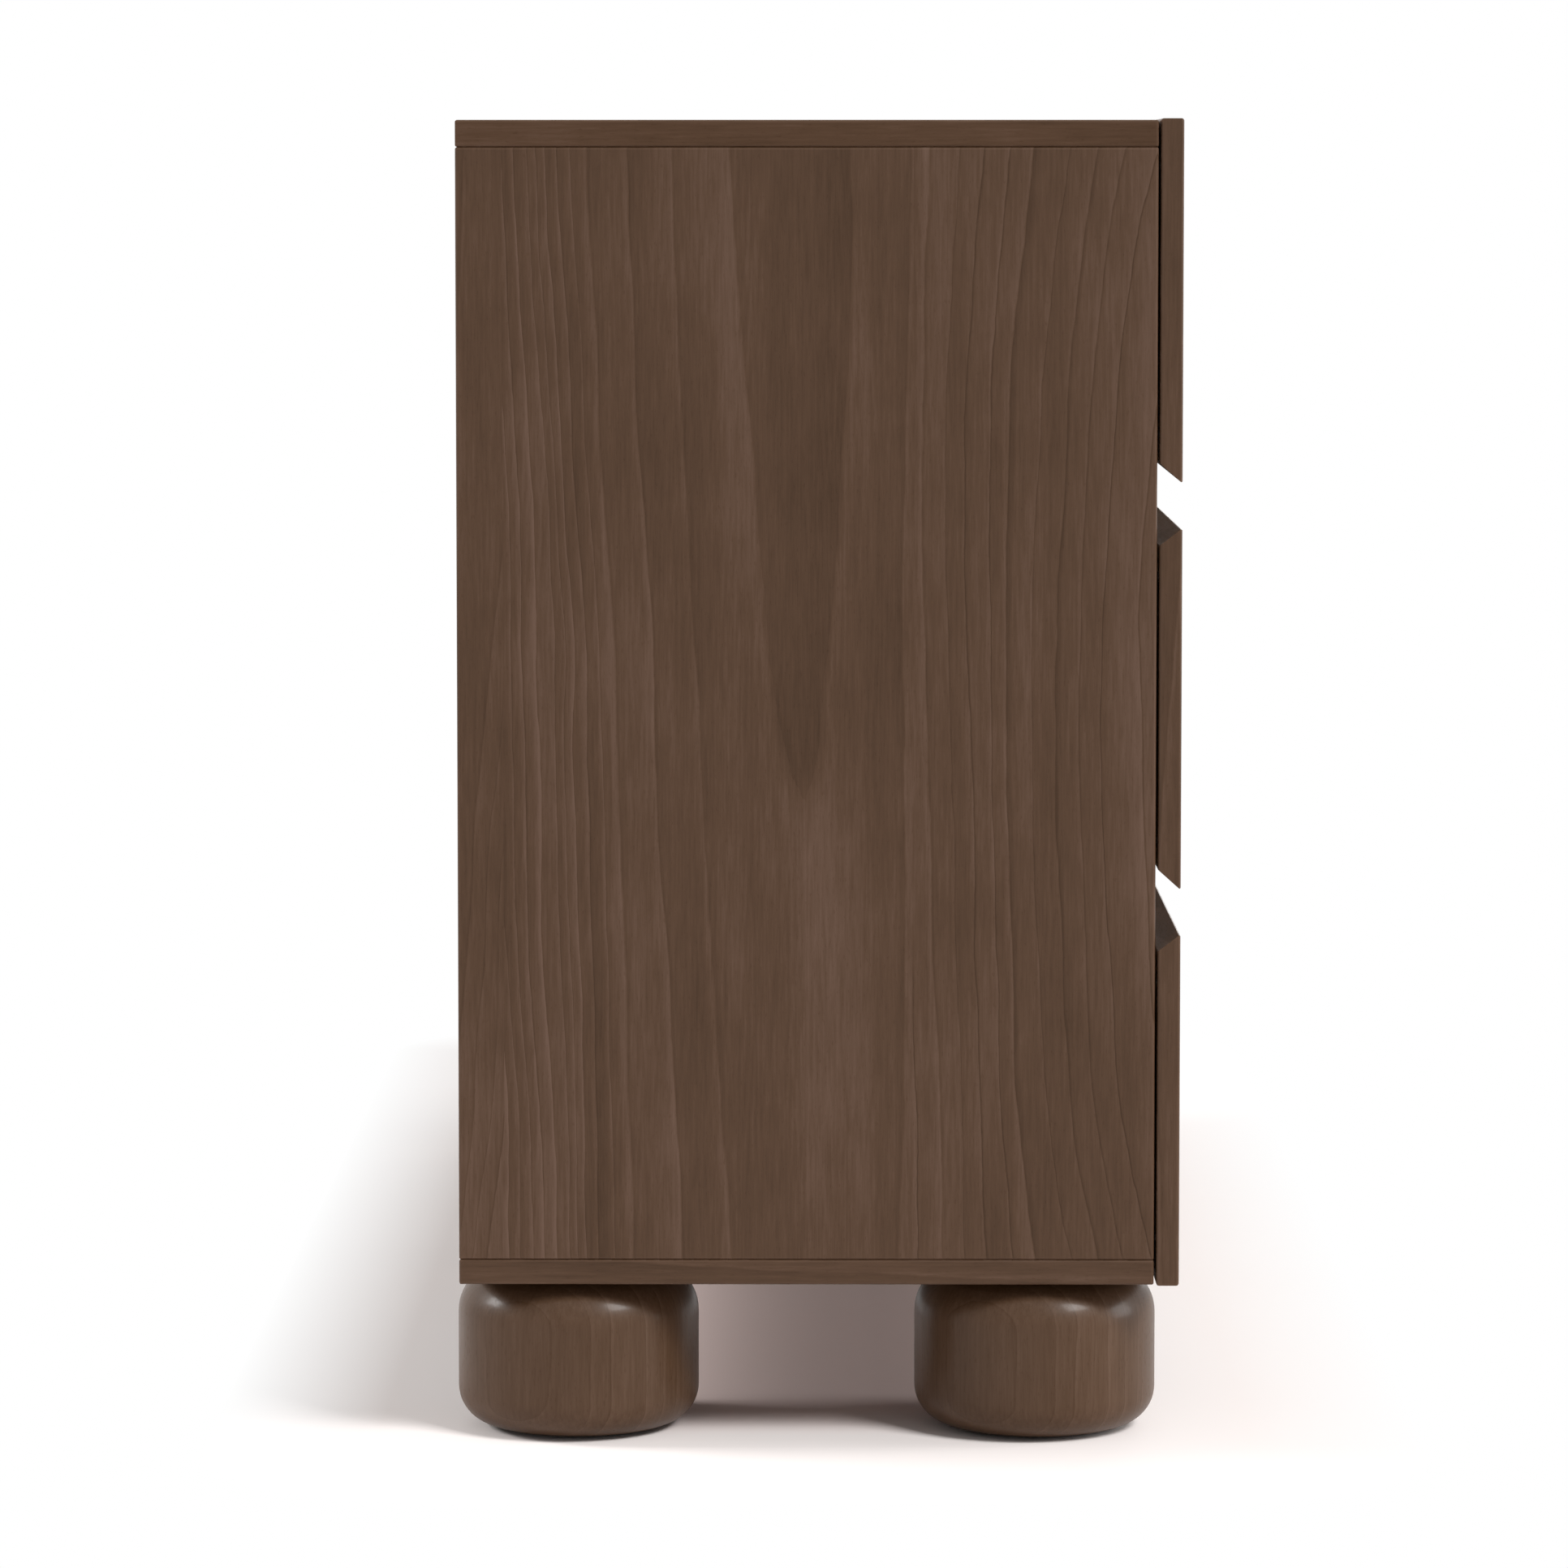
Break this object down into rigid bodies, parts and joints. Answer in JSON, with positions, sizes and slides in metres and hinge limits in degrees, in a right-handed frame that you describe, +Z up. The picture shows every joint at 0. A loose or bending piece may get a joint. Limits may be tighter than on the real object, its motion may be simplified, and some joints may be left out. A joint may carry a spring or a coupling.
{
  "type": "dresser",
  "caption": "Wide low dresser with stacked drawers on telescopic runners, bevelled finger gaps between overlay fronts in place of handles, and thick round feet.",
  "frame": {"origin": "on the floor, in the middle of the footprint (drawer faces to the backs of the rear feet)", "axes": "+X along the width, to the right seen from the front; +Y from the drawer fronts to the back; +Z up"},
  "size_m": [1.372, 0.4618, 0.842],
  "materials": {
    "stained_wood": "dark walnut-brown stain with a satin clear coat, straight grain",
    "drawer_wood": "pale birch, clear satin lacquer",
    "drawer_plywood": "thin birch plywood, clear matt lacquer",
    "runner_steel": "cold-rolled steel, bright zinc plated",
    "bolt_steel": "zinc-plated steel",
    "glide": "near-black matt plastic"
  },
  "bodies": {
    "case": {"top_panel": "stained_wood", "bottom_panel": "stained_wood", "left_side_panel": "stained_wood", "right_side_panel": "stained_wood", "centre_partition": "stained_wood", "back_panel": "stained_wood", "upper_left_rail": "stained_wood", "upper_right_rail": "stained_wood", "lower_left_rail": "stained_wood", "lower_right_rail": "stained_wood", "case_runners": "runner_steel", "front_left_foot": "stained_wood", "front_right_foot": "stained_wood", "rear_left_foot": "stained_wood", "rear_right_foot": "stained_wood", "centre_leg": "stained_wood", "foot_glides": "glide", "foot_bolts": "bolt_steel"},
    "upper_left_drawer": {"upper_left_front": "stained_wood", "upper_left_box_front": "drawer_wood", "upper_left_box_sides": "drawer_wood", "upper_left_box_back": "drawer_wood", "upper_left_box_bottom": "drawer_plywood", "upper_left_runners": "runner_steel"},
    "upper_left_slide": {"upper_left_runner_middles": "runner_steel"},
    "upper_right_drawer": {"upper_right_front": "stained_wood", "upper_right_box_front": "drawer_wood", "upper_right_box_sides": "drawer_wood", "upper_right_box_back": "drawer_wood", "upper_right_box_bottom": "drawer_plywood", "upper_right_runners": "runner_steel"},
    "upper_right_slide": {"upper_right_runner_middles": "runner_steel"},
    "middle_left_drawer": {"middle_left_front": "stained_wood", "middle_left_box_front": "drawer_wood", "middle_left_box_sides": "drawer_wood", "middle_left_box_back": "drawer_wood", "middle_left_box_bottom": "drawer_plywood", "middle_left_runners": "runner_steel"},
    "middle_left_slide": {"middle_left_runner_middles": "runner_steel"},
    "middle_right_drawer": {"middle_right_front": "stained_wood", "middle_right_box_front": "drawer_wood", "middle_right_box_sides": "drawer_wood", "middle_right_box_back": "drawer_wood", "middle_right_box_bottom": "drawer_plywood", "middle_right_runners": "runner_steel"},
    "middle_right_slide": {"middle_right_runner_middles": "runner_steel"},
    "lower_left_drawer": {"lower_left_front": "stained_wood", "lower_left_box_front": "drawer_wood", "lower_left_box_sides": "drawer_wood", "lower_left_box_back": "drawer_wood", "lower_left_box_bottom": "drawer_plywood", "lower_left_runners": "runner_steel"},
    "lower_left_slide": {"lower_left_runner_middles": "runner_steel"},
    "lower_right_drawer": {"lower_right_front": "stained_wood", "lower_right_box_front": "drawer_wood", "lower_right_box_sides": "drawer_wood", "lower_right_box_back": "drawer_wood", "lower_right_box_bottom": "drawer_plywood", "lower_right_runners": "runner_steel"},
    "lower_right_slide": {"lower_right_runner_middles": "runner_steel"}
  },
  "joints": [
    {"name": "upper_left_drawer_pull", "type": "slide", "parent": "case", "child": "upper_left_drawer", "axis": [0, -1, 0], "range_m": [0, 0.38]},
    {"name": "upper_left_slide_travel", "type": "slide", "parent": "case", "child": "upper_left_slide", "axis": [0, -1, 0], "range_m": [0, 0.19]},
    {"name": "upper_right_drawer_pull", "type": "slide", "parent": "case", "child": "upper_right_drawer", "axis": [0, -1, 0], "range_m": [0, 0.38]},
    {"name": "upper_right_slide_travel", "type": "slide", "parent": "case", "child": "upper_right_slide", "axis": [0, -1, 0], "range_m": [0, 0.19]},
    {"name": "middle_left_drawer_pull", "type": "slide", "parent": "case", "child": "middle_left_drawer", "axis": [0, -1, 0], "range_m": [0, 0.38]},
    {"name": "middle_left_slide_travel", "type": "slide", "parent": "case", "child": "middle_left_slide", "axis": [0, -1, 0], "range_m": [0, 0.19]},
    {"name": "middle_right_drawer_pull", "type": "slide", "parent": "case", "child": "middle_right_drawer", "axis": [0, -1, 0], "range_m": [0, 0.38]},
    {"name": "middle_right_slide_travel", "type": "slide", "parent": "case", "child": "middle_right_slide", "axis": [0, -1, 0], "range_m": [0, 0.19]},
    {"name": "lower_left_drawer_pull", "type": "slide", "parent": "case", "child": "lower_left_drawer", "axis": [0, -1, 0], "range_m": [0, 0.38]},
    {"name": "lower_left_slide_travel", "type": "slide", "parent": "case", "child": "lower_left_slide", "axis": [0, -1, 0], "range_m": [0, 0.19]},
    {"name": "lower_right_drawer_pull", "type": "slide", "parent": "case", "child": "lower_right_drawer", "axis": [0, -1, 0], "range_m": [0, 0.38]},
    {"name": "lower_right_slide_travel", "type": "slide", "parent": "case", "child": "lower_right_slide", "axis": [0, -1, 0], "range_m": [0, 0.19]}
  ],
  "couplings": [
    {"joint": "upper_left_slide_travel", "follows": "upper_left_drawer_pull", "ratio": 0.5},
    {"joint": "upper_right_slide_travel", "follows": "upper_right_drawer_pull", "ratio": 0.5},
    {"joint": "middle_left_slide_travel", "follows": "middle_left_drawer_pull", "ratio": 0.5},
    {"joint": "middle_right_slide_travel", "follows": "middle_right_drawer_pull", "ratio": 0.5},
    {"joint": "lower_left_slide_travel", "follows": "lower_left_drawer_pull", "ratio": 0.5},
    {"joint": "lower_right_slide_travel", "follows": "lower_right_drawer_pull", "ratio": 0.5}
  ]
}
